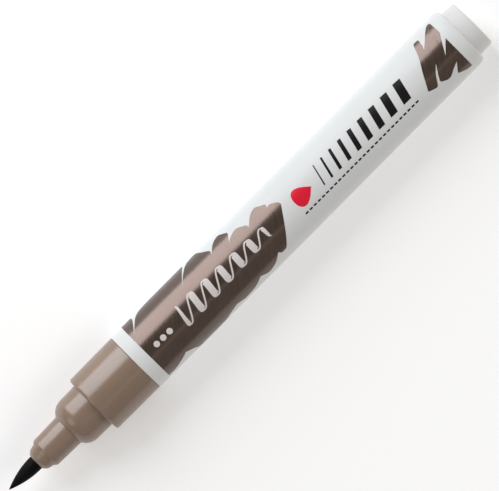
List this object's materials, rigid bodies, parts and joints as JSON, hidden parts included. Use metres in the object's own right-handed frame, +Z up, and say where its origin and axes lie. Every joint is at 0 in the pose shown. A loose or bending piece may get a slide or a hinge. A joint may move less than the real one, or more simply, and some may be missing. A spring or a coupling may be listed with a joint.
{
  "type": "calligraphy brush marker",
  "caption": "Uncapped calligraphy marker: fibre brush nib, tapered front section with cap seat and collar, printed tubular barrel, ink reservoir and push-in end plug.",
  "frame": {"origin": "on the table under the middle of the pen's length, with the pen lying on its barrel", "axes": "+X along the pen from the writing tip to the end plug, +Y across it, +Z up; the printed side faces +Z"},
  "size_m": [0.1448, 0.0152, 0.0153],
  "materials": {
    "barrel_plastic": "moulded white polypropylene, smooth satin gloss",
    "section_plastic": "moulded taupe polypropylene, smooth satin gloss",
    "plug_plastic": "moulded white polypropylene, satin",
    "nib_fibre": "bonded fibre, soaked in black ink",
    "core_fibre": "crimped polyester fibre bundle, soaked in ink",
    "reservoir_film": "thin heat-sealed film",
    "tube_plastic": "drawn plastic tube",
    "print_brown": "screen-printed dark brown ink",
    "print_white": "screen-printed white ink",
    "print_black": "screen-printed black ink",
    "print_red": "screen-printed red ink"
  },
  "bodies": {
    "barrel": {"barrel": "barrel_plastic", "reservoir_core": "core_fibre", "reservoir_film": "reservoir_film", "breather_tube": "tube_plastic"},
    "section": {"front_section": "section_plastic"},
    "nib": {"nib_shank": "nib_fibre"},
    "brush_tip": {"brush_tip": "nib_fibre"},
    "plug": {"end_plug": "plug_plastic"}
  },
  "joints": [
    {"name": "section_pull", "type": "slide", "parent": "barrel", "child": "section", "axis": [-1, 0, 0], "range_m": [0, 0.02]},
    {"name": "nib_pull", "type": "slide", "parent": "section", "child": "nib", "axis": [-1, 0, 0], "range_m": [0, 0.042]},
    {"name": "nib_flex", "type": "hinge", "parent": "nib", "child": "brush_tip", "pos_m": [-0.06485, 0, 0.00763], "axis": [0, 1, 0], "range_deg": [-40, 40], "stiffness_Nm_per_rad": 0.006},
    {"name": "plug_pull", "type": "slide", "parent": "barrel", "child": "plug", "axis": [1, 0, 0], "range_m": [0, 0.02]}
  ]
}
